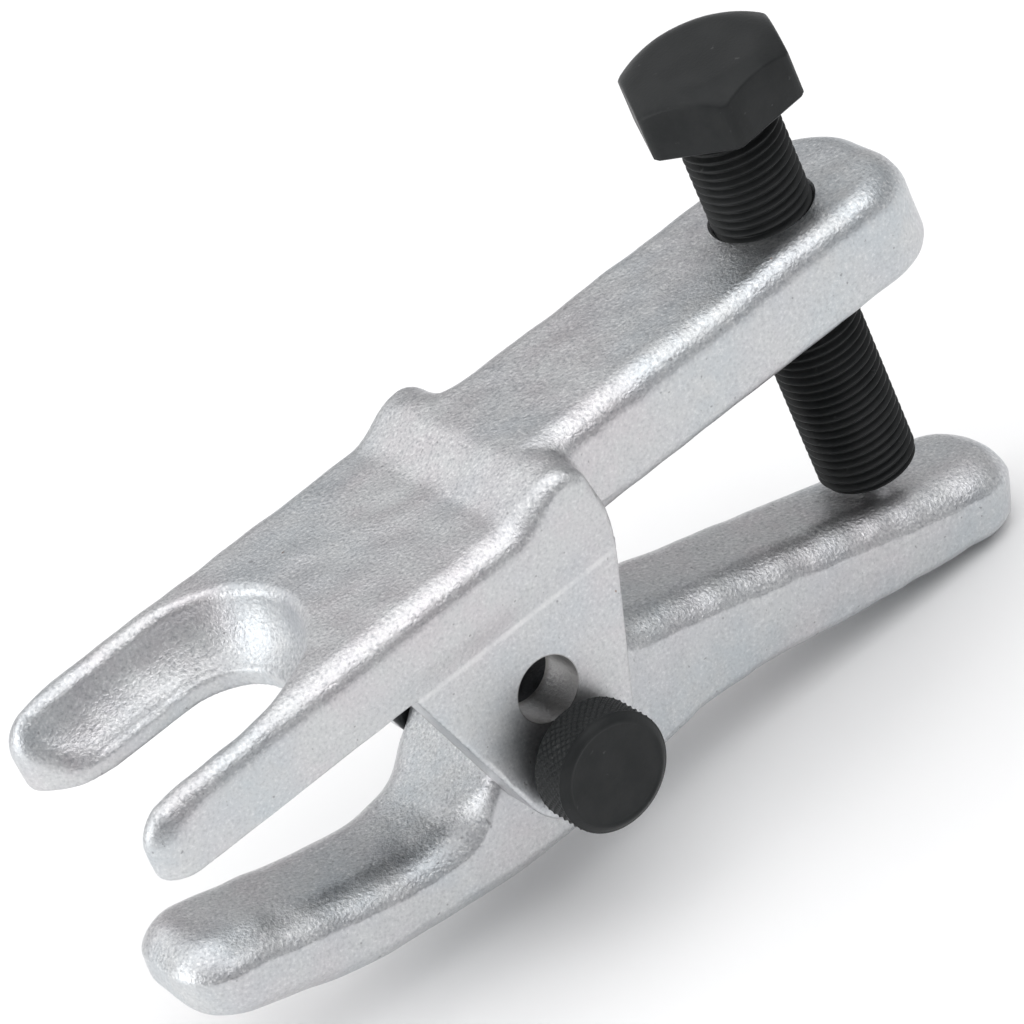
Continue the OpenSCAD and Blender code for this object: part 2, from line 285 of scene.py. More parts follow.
CHEEK_T = 8.4
CHEEK_R = PIVOT_Z - JAW_LOW.z
CHEEK_FRONT, CHEEK_REAR = math.radians(197.3), math.radians(-18.2)   # directions that its straight edges face
CHEEK_TOP_Z = 1.5        # hidden inside the fork
CHEEK_EDGE_R = 0.35
CHEEK_ROOT_R, SHARP_R = 2.51, 0.01           # fillet under the fork inside the cheeks, and none outside
CHEEK_ROOT_Y = (16, 19)
MILLED_WAVE, JAW_WAVE = 0.015, 0.065         # unevenness of the milled and of the forged skin
FORGED_Z = (-2, 3)       # heights over which one turns into the other

SCREW_BORE_R = 8.06
BORE_RIM_R, BORE_RIM_H = 8.53, 0.5           # countersink at the top of the screw's bore
THROUGH = 3.0            # how far a cutter runs past the faces


def cheek_outline(x, z):
    """Round about the pivot, with two straight edges that spread up to the fork plate."""
    u, v = x - PIVOT_X, z - PIVOT_Z
    n1 = (math.cos(CHEEK_FRONT), math.sin(CHEEK_FRONT))
    n2 = (math.cos(CHEEK_REAR), math.sin(CHEEK_REAR))
    mid = (n1[0] + n2[0], n1[1] + n2[1])
    size = math.hypot(*mid)
    chord = (u * mid[0] + v * mid[1]) / size - CHEEK_R * size / 2
    wedge = np.maximum(np.maximum(u * n1[0] + v * n1[1], u * n2[0] + v * n2[1]) - CHEEK_R, chord)
    return np.minimum(wedge, np.hypot(u, v) - CHEEK_R)


def under_ramp(x, z, rise):
    """The solid under the fork's flat top and the rise to the shoulder."""
    length = RAMP_END_X - RAMP_START_X
    s = np.clip((x - RAMP_START_X) / length, 0, 1)
    height = rise * s * s * (3 - 2 * s)
    slope = rise * 6 * s * (1 - s) / length
    return (z - FORK_T - height) / np.sqrt(1 + slope ** 2)


def fork_plan(x, q, z):
    """The fork seen from above, with its slot open to the front."""
    at_tip = 1 - step(x, *TIP_FADE_X)
    side = q - FORK_HALF_W + DRAFT * beyond(z, 0) - FORGED_PROUD * step(z, *PROUD_Z)
    plan = round_and(side, TINE_X - x, TINE_OUTER_R)
    slot = np.where(x > -ROOT_SHIFT, np.hypot(x + ROOT_SHIFT, q), q) - SLOT_R - TIP_FLARE * at_tip
    return round_and(plan, -slot, TINE_INNER_R)


def shoulder_back(x, z):
    low, high = beyond(-z, -REAR_LOW_Z), beyond(z, REAR_HIGH_Z)
    return (x - BODY_END_X + REAR_LOW_LEAN * low + REAR_HIGH_LEAN * high) * REAR_NORM


def fork_and_shoulder(x, y, z):
    q = np.abs(y)
    top = under_ramp(x, z, ARM_TOP_Z - FORK_T - CORNER_DROP * step(q, *CORNER_Y))
    body = round_and(top, shoulder_back(x, z), REAR_EDGE_R)
    edge_r = mix(TINE_EDGE_R, SHOULDER_EDGE_R, step(x, *SHOULDER_EDGE_X))
    edge_r = edge_r * mix(EDGE_TIGHT, 1, step(z, *EDGE_Z))
    edge_r = edge_r + (TIP_EDGE_R - TINE_EDGE_R) * (1 - step(x, *TIP_FADE_X))
    body = round_and(body, fork_plan(x, q, z), edge_r)
    body = round_and(body, -z, mix(TIP_UNDER_R, UNDER_R, step(x, *UNDER_FADE_TIP_X)))

    # the dished seat is a ball's print above the slot's wall
    reach = np.where(x > 0, np.hypot(x, q), q)
    ball = np.hypot(reach, z - SEAT_BALL_Z) - SEAT_BALL_R
    seat = np.maximum(ball, WALL_H + LEDGE_H - z)
    rim_r = mix(np.where(y < 0, NEAR_RIM_R, FAR_RIM_R), ROOT_RIM_R, step(x, *RIM_FADE_X))
    return round_and(body, -seat, rim_r)


def arm_field(x, q, z):
    plan = round_and(q - ARM_HALF_W + ARM_DRAFT * beyond(z, 0), x - ARM_TIP_X, ARM_CORNER_R)
    plan = np.maximum(plan, ARM_START_X - x)
    edge_r = mix(ARM_EDGE_R, ARM_TIP_EDGE_R, step(x, *ARM_TIP_FADE_X))
    arm = round_and(plan, under_ramp(x, z, ARM_TOP_Z - FORK_T), edge_r)
    return round_and(arm, ARM_BOTTOM_Z - z, ARM_UNDER_R)


def neck_field(x, q, z):
    """Plan fillets between the arm's sides and the shoulder's back."""
    back = x - NECK_BACK_X + NECK_FALL * beyond(z, NECK_FALL_Z)
    neck = round_or(back, q - NECK_SIDE_Y, NECK_R)
    neck = np.maximum(np.maximum(neck, NECK_X[0] - x), np.maximum(x - NECK_X[1], q - NECK_HALF_W))
    neck = round_and(neck, z - NECK_TOP_Z + NECK_FALL * beyond(x, NECK_FALL_X), NECK_EDGE_R)
    return np.maximum(neck, NECK_BOTTOM_Z - z)


def cheek_field(x, q, z):
    """Both cheeks, machined flat below the parting line."""
    outline = np.maximum(cheek_outline(x, z), z - CHEEK_TOP_Z)
    slab = np.maximum(q - FORK_HALF_W + DRAFT * beyond(z, 0), FORK_HALF_W - CHEEK_T - q)
    return round_and(outline, slab, CHEEK_EDGE_R)


def jaw_field(x, y, z):
    q = np.abs(y)
    jaw = np.minimum(fork_and_shoulder(x, y, z), arm_field(x, q, z))
    jaw = round_or(jaw, neck_field(x, q, z), NECK_BLEND_R)
    jaw = round_or(jaw, cheek_field(x, q, z), mix(CHEEK_ROOT_R, SHARP_R, step(q, *CHEEK_ROOT_Y)))
    wave = mix(MILLED_WAVE, JAW_WAVE, step(z, *FORGED_Z))
    return jaw + wave * waviness(x, y, z, seed=11, wavelength=9.0)


def make_jaw():
    jaw = mesh_from_field("jaw_forging", jaw_field, JAW_LOW, JAW_HIGH)
    cutters = [cross_bore(HOLE_R, PIVOT_X, z, FORK_HALF_W + THROUGH) for z in (PIVOT_Z, UPPER_HOLE_Z)]
    below, above = (SCREW_X, 0, ARM_BOTTOM_Z - THROUGH), (SCREW_X, 0, ARM_TOP_Z + THROUGH)
    cutters.append(cylinder_cutter(below, above, SCREW_BORE_R))
    low, high = (SCREW_X, 0, ARM_TOP_Z - BORE_RIM_H), (SCREW_X, 0, ARM_TOP_Z + BORE_RIM_H)
    cutters.append(cylinder_cutter(low, high, SCREW_BORE_R, BORE_RIM_R + BORE_RIM_H))
    cut(jaw, cutters)
    return jaw


# ---------------------------------------------------------------- lower lever
TAIL_UNDER_SCREW_Z = -37
TAIL_SLOPE = -0.31


def tail_z(x):
    """Height of the tail's flat top."""
    return TAIL_UNDER_SCREW_Z + TAIL_SLOPE * (x - SCREW_X)


# side outline and half width, as (x, height) and (x, half width)
LEVER_TOP = [(-40, -17.2), (-24, -21.4), (-14.8, -23.4), (-7.6, -25.6), (-0.4, -27.9), (6.8, -29.9),
             (13, -31.1), (19.4, -31.0), (23.2, -29.8), (26.3, -28.2), (28.9, -26.3), (32.2, -22.7),
             (35.5, -19.9), (39, -18.4), (44, -17.9), (50, tail_z(50) - 0.4), (58, tail_z(58)),
             (90, tail_z(90)), (116, tail_z(116)), (124, tail_z(124) + 0.7), (140, tail_z(140) + 1.6)]
LEVER_BOTTOM = [(-40, -26.4), (-24.6, -32.7), (-15.5, -37.0), (-7.3, -40.4), (0.2, -42.8), (12.6, -44.6),
                (23.8, -45.2), (33.9, -44.8), (45, -44.0), (56.2, -43.1), (65.7, -43.0), (77.3, -44.3),
                (91.2, -47.2), (104.9, -49.8), (119.1, -52.3), (140, -56.1)]
LEVER_WIDTH = [(-40, 11.6), (10, 11.6), (24, 13.0), (29, 13.3), (50, 13.3), (58, 12.6), (72, 11.6),
               (110, 11.4), (140, 11.2)]

BOSS_IN_X, BOSS_OUT_X = (22, 28), (52, 60)   # where the lever's section turns into the boss's and back
LEVER_DRAFT = 0.035      # lean of the sides away from the parting line, per mm of height
PARTING_H, PARTING_RISE, PARTING_X = 4.5, 2.0, (20, 55)        # the parting line's height above the underside
NOSE_LEAN, NOSE_LEAN_Z = 0.12, -33           # the nose's front leans back above this height, per mm
NOSE_NORM = 0.99         # brings its field close to a true distance
TAIL_SHORT = 0.9         # the tail's end stops this much short of the CAD's at the height below
TAIL_LEAN, TAIL_LEAN_Z = 0.3, -48            # and leans, per mm
NOSE_CORNER_R, TAIL_CORNER_R = 8.2, 9.6      # corners of either end in plan
TOP_EDGE_R, BOSS_EDGE_R = 7.0, 3.0           # the top's long edges on the lever and on its boss
TOP_CREASE, UNDER_CREASE = 0.55, 0.3         # the die's crease where a round edge runs out into the flat side
NOSE_FADE_X = (LEVER_LOW.x + 2, LEVER_LOW.x + 16)
NOSE_UNDER_R, FRONT_UNDER_R, REAR_UNDER_R = 3.0, 6.0, 4.1      # the underside's long edges
UNDER_FADE_X = (18, 45)
LEVER_WAVE = 0.07


def lever_field(x, y, z):
    q = np.abs(y)
    top, top_slope = curve(LEVER_TOP, x)
    bottom, bottom_slope = curve(LEVER_BOTTOM, x)
    width, _ = curve(LEVER_WIDTH, x)
    in_cheeks = step(x, *BOSS_IN_X) * (1 - step(x, *BOSS_OUT_X))
    at_nose = 1 - step(x, *NOSE_FADE_X)
    parting = bottom + PARTING_H + PARTING_RISE * step(x, *PARTING_X)
    side = q - width + LEVER_DRAFT * np.abs(z - parting) * (1 - in_cheeks)
    front = (LEVER_LOW.x + NOSE_LEAN * beyond(z, NOSE_LEAN_Z) - x) * NOSE_NORM
    rear = x - LEVER_HIGH.x + TAIL_SHORT - TAIL_LEAN * (z - TAIL_LEAN_Z)
    plan = np.maximum(round_and(side, front, NOSE_CORNER_R), round_and(side, rear, TAIL_CORNER_R))
    upper = (z - top) / np.sqrt(1 + top_slope ** 2)
    lower = (bottom - z) / np.sqrt(1 + bottom_slope ** 2)
    upper_r = mix(TOP_EDGE_R, BOSS_EDGE_R, in_cheeks)
    lower_r = mix(mix(FRONT_UNDER_R, NOSE_UNDER_R, at_nose), REAR_UNDER_R, step(x, *UNDER_FADE_X))
    lever = np.maximum(plan, round_and(plan - TOP_CREASE * (1 - in_cheeks), upper, upper_r))
    lever = np.maximum(lever, round_and(plan - UNDER_CREASE * (1 - at_nose), lower, lower_r))
    return lever + mix(LEVER_WAVE, MILLED_WAVE, in_cheeks) * waviness(x, y, z, seed=23, wavelength=8.0)


def make_lever():
    lever = mesh_from_field("lever_forging", lever_field, LEVER_LOW, LEVER_HIGH)
    cut(lever, [cross_bore(HOLE_R, PIVOT_X, PIVOT_Z, LEVER_HIGH.y + THROUGH)])
    return lever


# ---------------------------------------------------------------- rings
def ring_surface(name, rings):
    """A closed surface through rings of points, each with the same number of points."""
    columns = len(rings[0])
    points = [point for ring in rings for point in ring]
    faces = []
    for start in range(0, len(points) - columns, columns):
        for j in range(columns):
            k = (j + 1) % columns
            faces.append((start + j, start + k, start + columns + k, start + columns + j))
    last = len(points) - columns
    faces.append(tuple(range(columns - 1, -1, -1)))
    faces.append(tuple(range(last, last + columns)))
    return new_object(name, points, faces)


def screw_ring(angles, radius, height):
    """A ring about the screw's axis. Radius and height may vary round it."""
    radius, height = (np.broadcast_to(v, angles.shape) for v in (radius, height))
    return list(zip(SCREW_X + radius * np.cos(angles), radius * np.sin(angles), height))


def pin_ring(angles, radius, y):
    """A ring about the pin's axis. Its radius may vary round it."""
    radius = np.broadcast_to(radius, angles.shape)
    return [(PIVOT_X + r * math.cos(a), y, PIVOT_Z + r * math.sin(a)) for r, a in zip(radius, angles)]


def triangle_wave(v):
    """0 at whole numbers, 1 midway between them."""
    return np.abs(((v + 0.5) % 1.0) - 0.5) * 2


# ---------------------------------------------------------------- forcing screw
THREAD_R, THREAD_DEPTH, PITCH = 8.0, 0.92, 1.5
CREST, FLANK = 0.125, 0.70       # shares of half a pitch
TIP_R, TAPER_H = 4.6, 2.7        # the screw's end narrows to this radius over this height
SOCKET_GAP = 0.05                # round the thrust ball
SOCKET_POLE = math.radians(3.6)  # the socket's first ring is this far from its deepest point
SOCKET_RINGS, END_RINGS, RINGS_PER_PITCH = 14, 4, 14
SHAFT_COLUMNS, HEX_COLUMNS = 120, 96
HEX_AF, HEX_H = 24.0, 9.8
HEX_TURN = math.radians(36.2)
HEX_FLAT_R, HEX_DOME = 8.4, 0.080            # flat middle of the head, and how fast the top falls round it
HEX_INNER_R, HEX_MIDDLE_R, HEX_UNDER_R = 7.9, 3.0, 7.0         # rings inside the flat, and under the head
HEX_TOP_SHARES = (0.0, 0.12, 0.3, 0.5, 0.7, 0.85, 1.0)         # places of the top's rings, edge to inner
HEX_EDGE_R, HEX_CORNER = 0.3, 0.08
HEX_SHARP = math.radians(30)
HEAD_Z = SCREW_HIGH.z - HEX_H


def thread_radius(phase):
    """Radius of a metric thread at a phase of its turn: a narrow crest, two flanks and a root."""
    flank = np.clip((triangle_wave(phase) - CREST) / FLANK, 0, 1)
    return THREAD_R - THREAD_DEPTH * flank


def socket_rings(angles):
    """The screw's end face with the socket that holds the thrust ball, from the socket's depth outwards."""
    ball_low, ball_high = node_box("thrust_ball")
    ball_z = (ball_low.z + ball_high.z) / 2
    socket_r = (ball_high.z - ball_low.z) / 2 + SOCKET_GAP
    mouth_r = math.sqrt(socket_r ** 2 - (ball_z - SCREW_LOW.z) ** 2)
    mouth_angle = math.pi - math.asin(mouth_r / socket_r)
    rings = [screw_ring(angles, socket_r * math.sin(a), ball_z + socket_r * math.cos(a))
             for a in np.linspace(SOCKET_POLE, mouth_angle, SOCKET_RINGS)]
    return rings + [screw_ring(angles, r, SCREW_LOW.z) for r in np.linspace(mouth_r, TIP_R, END_RINGS)[1:]]


def make_screw_shaft():
    angles = ring_angles(SHAFT_COLUMNS)
    rings = socket_rings(angles)
    for z in [*np.arange(SCREW_LOW.z, HEAD_Z, PITCH / RINGS_PER_PITCH)[1:], HEAD_Z]:
        taper = math.sin(min(1, (z - SCREW_LOW.z) / TAPER_H) * math.pi / 2)
        radius = np.minimum(thread_radius(z / PITCH - angles / (2 * math.pi)), mix(TIP_R, THREAD_R, taper))
        rings.append(screw_ring(angles, radius, z))
    return ring_surface("screw_shaft", rings)


def make_hex_head():
    angles = ring_angles(HEX_COLUMNS) + math.pi / HEX_COLUMNS
    off_flat = (angles + math.pi / 6) % (math.pi / 3) - math.pi / 6
    hexagon = HEX_AF / 2 / np.cos(off_flat)
    turned = angles + HEX_TURN

    def dome_z(radius):
        return SCREW_HIGH.z - HEX_DOME * beyond(radius, HEX_FLAT_R) ** 2

    rings = [screw_ring(turned, HEX_UNDER_R, HEAD_Z),
             screw_ring(turned, hexagon - HEX_EDGE_R, HEAD_Z),
             screw_ring(turned, hexagon, HEAD_Z + HEX_EDGE_R),
             screw_ring(turned, hexagon, dome_z(hexagon) - HEX_EDGE_R),
             screw_ring(turned, hexagon - HEX_CORNER, dome_z(hexagon) - HEX_CORNER)]
    for t in HEX_TOP_SHARES:
        radius = mix(hexagon - HEX_EDGE_R, HEX_INNER_R, t)
        rings.append(screw_ring(turned, radius, dome_z(radius)))
    rings.append(screw_ring(turned, HEX_MIDDLE_R, SCREW_HIGH.z))
    head = ring_surface("hex_head", rings)
    head.data.set_sharp_from_angle(angle=HEX_SHARP)
    return head


# ---------------------------------------------------------------- pivot pin
PIN_R = 5.0
KNOB_R = PIN_HIGH.z - PIVOT_Z
KNURL_TEETH, KNURL_DEPTH = 46, 0.30
KNURL_LEAD = 2 * math.pi * KNOB_R / KNURL_TEETH
KNURL_FADE = 0.35        # the knurl runs out over this length at either end
KNURL_EDGE = 0.18        # and leaves the knob this much smaller there
KNURL_FROM, KNURL_TO = 0.9, 0.75             # plain stretch before and after the knurl
COLUMNS_PER_TOOTH = 8
COLLAR_R, COLLAR_H = 7.6, 1.8
COLLAR_GAP = 0.15        # between the collar and the cheek
SHANK_RINGS = 12
DETENT_BORE_R = 2.06
DETENT_Y = FORK_HALF_W - CHEEK_T / 2
DETENT_LOW_Z, DETENT_HIGH_Z = PIVOT_Z - PIN_R - 2, PIVOT_Z + 3.5       # from under the pin up to its depth

# the pin's outline, as (radius, distance along the axis) from the head's face, the knob's back, the collar's
# back and the pin's end
FACE_PROFILE = [(0.4, 0.12), (3.0, 0.12), (6.0, 0.12), (7.55, 0.12), (7.72, 0.1), (7.9, 0), (8.1, 0),
                (8.3, 0.05), (9.0, 0.62), (9.12, 0.74)]
KNOB_BACK_PROFILE = [(KNOB_R - 0.5, -0.3), (KNOB_R - 0.9, 0), (COLLAR_R + 0.3, 0), (COLLAR_R, 0.3)]
COLLAR_BACK_PROFILE = [(COLLAR_R, -0.2), (COLLAR_R - 0.2, 0), (PIN_R + 0.15, 0), (PIN_R, 0.2)]
END_PROFILE = [(PIN_R - 0.12, -0.7), (PIN_R - 0.9, -0.04), (PIN_R - 1.1, 0), (2.0, 0)]


def knurl_rings(angles, start, end):
    """Diamond knurl: two families of grooves that wind opposite ways round the knob."""
    around = angles / (2 * math.pi) * KNURL_TEETH
    rings = []
    for y in np.arange(start, end, KNURL_LEAD / COLUMNS_PER_TOOTH):
        along = (y - start) / KNURL_LEAD
        fade = min(1, (y - start) / KNURL_FADE, (end - y) / KNURL_FADE)
        groove = 1 - np.minimum(triangle_wave(around + along), triangle_wave(around - along))
        rings.append(pin_ring(angles, KNOB_R - KNURL_EDGE * (1 - fade) - KNURL_DEPTH * fade * groove, y))
    return rings


def make_pin():
    angles = ring_angles(KNURL_TEETH * COLUMNS_PER_TOOTH)
    face_y, end_y = PIN_LOW.y, PIN_HIGH.y
    back_y = -FORK_HALF_W - COLLAR_GAP
    collar_y = back_y - COLLAR_H
    rings = [pin_ring(angles, r, face_y + y) for r, y in FACE_PROFILE]
    rings += knurl_rings(angles, face_y + KNURL_FROM, collar_y - KNURL_TO)
    rings += [pin_ring(angles, r, collar_y + y) for r, y in KNOB_BACK_PROFILE]
    rings += [pin_ring(angles, r, back_y + y) for r, y in COLLAR_BACK_PROFILE]
    rings += [pin_ring(angles, PIN_R, y) for y in np.linspace(back_y + 1, end_y - 0.9, SHANK_RINGS)]
    rings += [pin_ring(angles, r, end_y + y) for r, y in END_PROFILE]
    pin = ring_surface("knurled_pin", rings)
    low, high = (PIVOT_X, DETENT_Y, DETENT_LOW_Z), (PIVOT_X, DETENT_Y, DETENT_HIGH_Z)
    cut(pin, [cylinder_cutter(low, high, DETENT_BORE_R, segments=48)])
    return pin


# ---------------------------------------------------------------- shader helpers
def new_material(name):
    material = bpy.data.materials.new(name)
    material.use_nodes = True
    tree = material.node_tree
    return material, tree, tree.nodes["Principled BSDF"]


def noise(tree, coords, scale, detail=3.0, rough=0.5):
    node = tree.nodes.new("ShaderNodeTexNoise")
    for key, value in (("Scale", scale), ("Detail", detail), ("Roughness", rough)):
        node.inputs[key].default_value = value
    tree.links.new(coords, node.inputs["Vector"])
    return node.outputs["Fac"]


def math_node(tree, operation, a, b=0.0):
    node = tree.nodes.new("ShaderNodeMath")
    node.operation = operation
    for i, v in enumerate((a, b)):
        if isinstance(v, (int, float)):
            node.inputs[i].default_value = v
        else:
            tree.links.new(v, node.inputs[i])
    return node.outputs[0]


def product(tree, first, *others):
    for other in others:
        first = math_node(tree, "MULTIPLY", first, other)
    return first


def remap(tree, value, low, high, to_low=0.0, to_high=1.0):
    node = tree.nodes.new("ShaderNodeMapRange")
    node.interpolation_type = "SMOOTHSTEP"
    tree.links.new(value, node.inputs["Value"])
    for key, v in (("From Min", low), ("From Max", high), ("To Min", to_low), ("To Max", to_high)):
        node.inputs[key].default_value = v
    return node.outputs["Result"]


def past(tree, place, low, high):
    """0 where a place along an axis is before low, 1 where it is past high, both in mm."""
    return remap(tree, place, low * MM, high * MM)


def before(tree, place, low, high):
    """1 where a place along an axis is before low, 0 where it is past high, both in mm."""
    return remap(tree, place, low * MM, high * MM, 1.0, 0.0)


def blend_colour(tree, factor, a, b):
    node = tree.nodes.new("ShaderNodeMix")
    node.data_type = "RGBA"
    tree.links.new(factor, node.inputs["Factor"])
    for socket, v in ((node.inputs[6], a), (node.inputs[7], b)):
        if isinstance(v, tuple):
            socket.default_value = (*v, 1)
        else:
            tree.links.new(v, socket)
    return node.outputs[2]


def bump(tree, height, distance, strength, below=None):
    node = tree.nodes.new("ShaderNodeBump")
    node.inputs["Strength"].default_value = strength
    node.inputs["Distance"].default_value = distance
    tree.links.new(height, node.inputs["Height"])
    if below is not None:
        tree.links.new(below, node.inputs["Normal"])
    return node.outputs["Normal"]


def texture_coords(tree, kind="Object"):
    return tree.nodes.new("ShaderNodeTexCoord").outputs[kind]


def split(tree, vector):
    """The X, Y and Z of a vector."""
    parts = tree.nodes.new("ShaderNodeSeparateXYZ")
    tree.links.new(vector, parts.inputs[0])
    return parts.outputs["X"], parts.outputs["Y"], parts.outputs["Z"]


# ---------------------------------------------------------------- materials
# places on the forgings, in mm, each from where a shade starts to where it is full
HIDDEN_X, HIDDEN_END_X, HIDDEN_Z = (31.5, 34.5), (52, 56), (-22.5, -20.5)      # boss's top between the cheeks
BOSS_SIDE_Y, BOSS_X, BOSS_END_X = (12.6, 12.9), (23.2, 24.0), (53.5, 54.5)     # milled sides of the boss
MILLED_Z, CHEEK_INSIDE_Z = (-1.2, 0.4), (-1.5, 0.5)
MILLED_Y, LINE_Y = (FORK_HALF_W - 0.6, FORK_HALF_W - 0.3), (FORK_HALF_W - 0.4, FORK_HALF_W - 0.2)
BETWEEN_Y = (FORK_HALF_W - CHEEK_T + 0.2, FORK_HALF_W - CHEEK_T + 1.6)
BORE_WALL = (HOLE_R + 0.05, HOLE_R + 0.20)
PARTING_LINE_Z, PARTING_LINE_W = -0.3, (0.1, 0.7)

ZINC_BLUE, ZINC_PINK, ZINC_PALE = (0.525, 0.558, 0.582), (0.590, 0.572, 0.586), (0.61, 0.62, 0.625)
GRAIN_DARK, GRAIN_LIGHT = (0.33, 0.34, 0.36), (0.88, 0.88, 0.88)
PIT, RUST = (0.20, 0.20, 0.21), (0.22, 0.12, 0.07)
# painted shade: dark colours laid on the boss's top and on the cheeks' inner faces between the cheeks, where
# shadow falls, and how strongly
PAINTED_SHADE_BOSS, PAINTED_SHADE_CHEEK, PAINTED_SHADE_SHARE = (0.03, 0.03, 0.032), (0.035, 0.035, 0.036), 0.93
# painted shade on the walls of the pivot holes, and how strongly it is laid on
PAINTED_SHADE_BORE, PAINTED_SHADE_BORE_SHARE = (0.29, 0.28, 0.27), 0.68
PARTING_COLOUR = (0.84, 0.84, 0.84)
OXIDE_DARK, OXIDE_LIGHT, OXIDE_WORN = (0.0155, 0.017, 0.0175), (0.0245, 0.026, 0.0265), (0.12, 0.12, 0.12)
STEEL_DARK, STEEL_LIGHT = (0.62, 0.62, 0.63), (0.74, 0.74, 0.75)


def zinc_plate(name, rust_spots, machined, shade, skin_depth):
    """Zinc plate on a shot-blasted forging: grainy satin silver with faint blue and pink tints."""
    material, tree, shader = new_material(name)
    coords = texture_coords(tree)
    tint = noise(tree, coords, 45, 2)
    cloud = noise(tree, coords, 120, 4, 0.6)
    grain = noise(tree, coords, 1900, 3, 0.6)
    # the skin is roughest where the part faces up out of the die, and smoother down its sides
    skin = remap(tree, split(tree, texture_coords(tree, "Normal"))[2], 0.10, 0.50, 0.5, 1.0)
    colour = blend_colour(tree, remap(tree, tint, 0.35, 0.65), ZINC_BLUE, ZINC_PINK)
    colour = blend_colour(tree, remap(tree, cloud, 0.3, 0.75), colour, ZINC_PALE)
    dark = product(tree, remap(tree, grain, 0.50, 0.70, 0.0, 0.66), skin)
    light = product(tree, remap(tree, grain, 0.48, 0.28, 0.0, 0.68), skin)
    colour = blend_colour(tree, dark, colour, GRAIN_DARK)
    colour = blend_colour(tree, light, colour, GRAIN_LIGHT)
    pits = noise(tree, coords, 900, 1)
    colour = blend_colour(tree, remap(tree, pits, 0.745, 0.78, 0.0, 0.55), colour, PIT)
    if rust_spots:
        spots = noise(tree, coords, 560, 1)
        colour = blend_colour(tree, remap(tree, spots, 0.825, 0.84, 0.0, 0.7), colour, RUST)
    colour = shade(tree, coords, colour)
    tree.links.new(colour, shader.inputs["Base Color"])
    shader.inputs["Metallic"].default_value = 1.0
    tree.links.new(remap(tree, cloud, 0.25, 0.75, 0.36, 0.45), shader.inputs["Roughness"])
    normal = zinc_relief(tree, coords, grain, skin, machined(tree, coords), skin_depth)
    tree.links.new(normal, shader.inputs["Normal"])
    return material


def zinc_relief(tree, coords, grain, skin, machined, skin_depth):
    """Blasted grain and dimples on the forged skin, and brush marks where it is machined."""
    blasted = math_node(tree, "SUBTRACT", 1.0, machined)
    depth = math_node(tree, "ADD", product(tree, blasted, 0.8), 0.2)
    rough = product(tree, math_node(tree, "SUBTRACT", grain, 0.5), depth, skin)
    normal = bump(tree, rough, 0.00015, 0.8)
    normal = bump(tree, product(tree, noise(tree, coords, 900, 2), skin), 0.00006, skin_depth, normal)
    stretch = tree.nodes.new("ShaderNodeMapping")
    tree.links.new(coords, stretch.inputs["Vector"])
    stretch.inputs["Scale"].default_value = (1.0, 1.0, 0.04)
    brushed = product(tree, noise(tree, stretch.outputs["Vector"], 3000, 2, 0.6), machined)
    return bump(tree, brushed, 0.00003, 0.6, normal)


def lever_shades(tree, coords, colour):
    """Painted shade on the top of the boss where it is hidden between the cheeks, darkening it as if in their
    shadow.
    """
    x, _, z = split(tree, coords)
    hidden = product(tree, past(tree, x, *HIDDEN_X), before(tree, x, *HIDDEN_END_X), past(tree, z, *HIDDEN_Z))
    # painted shade darkens the boss's top where the cheeks hide it
    return blend_colour(tree, product(tree, hidden, PAINTED_SHADE_SHARE), colour, PAINTED_SHADE_BOSS)


def machined_cheeks(tree, coords):
    """The cheeks' outer faces, milled flat below the parting line."""
    _, y, z = split(tree, coords)
    outer = past(tree, math_node(tree, "ABSOLUTE", y), *MILLED_Y)
    return product(tree, outer, before(tree, z, *MILLED_Z))


def machined_boss(tree, coords):
    """The lever's sides where they run between the cheeks, milled flat."""
    x, y, _ = split(tree, coords)
    outer = past(tree, math_node(tree, "ABSOLUTE", y), *BOSS_SIDE_Y)
    return product(tree, outer, past(tree, x, *BOSS_X), before(tree, x, *BOSS_END_X))


def on_bore_wall(tree, x, z, centre_z):
    """1 on the wall of a pivot hole, 0 away from it."""
    dx = math_node(tree, "SUBTRACT", x, PIVOT_X * MM)
    dz = math_node(tree, "SUBTRACT", z, centre_z * MM)
    squares = math_node(tree, "ADD", product(tree, dx, dx), product(tree, dz, dz))
    return before(tree, math_node(tree, "SQRT", squares), *BORE_WALL)


def hinge_shades(tree, coords, colour):
    """Painted shade inside the bores and on the inner faces between the cheeks, and a pale parting line along
    the sides.
    """
    x, y, z = split(tree, coords)
    across = math_node(tree, "ABSOLUTE", y)
    inside = product(tree, before(tree, across, *BETWEEN_Y), before(tree, z, *CHEEK_INSIDE_Z))
    # painted shade on the cheeks' inner faces, below the fork, between the cheeks
    colour = blend_colour(tree, product(tree, inside, PAINTED_SHADE_SHARE), colour, PAINTED_SHADE_CHEEK)
    lower, upper = (on_bore_wall(tree, x, z, centre_z) for centre_z in (PIVOT_Z, UPPER_HOLE_Z))
    bores = math_node(tree, "MAXIMUM", lower, upper)
    # painted shade on the walls of the pivot holes
    colour = blend_colour(tree, product(tree, bores, PAINTED_SHADE_BORE_SHARE), colour, PAINTED_SHADE_BORE)
    off_line = math_node(tree, "ABSOLUTE", math_node(tree, "SUBTRACT", z, PARTING_LINE_Z * MM))
    broken = remap(tree, noise(tree, coords, 90, 2), 0.35, 0.6, 0.1, 0.5)
    line = product(tree, before(tree, off_line, *PARTING_LINE_W), broken, past(tree, across, *LINE_Y))
    return blend_colour(tree, line, colour, PARTING_COLOUR)


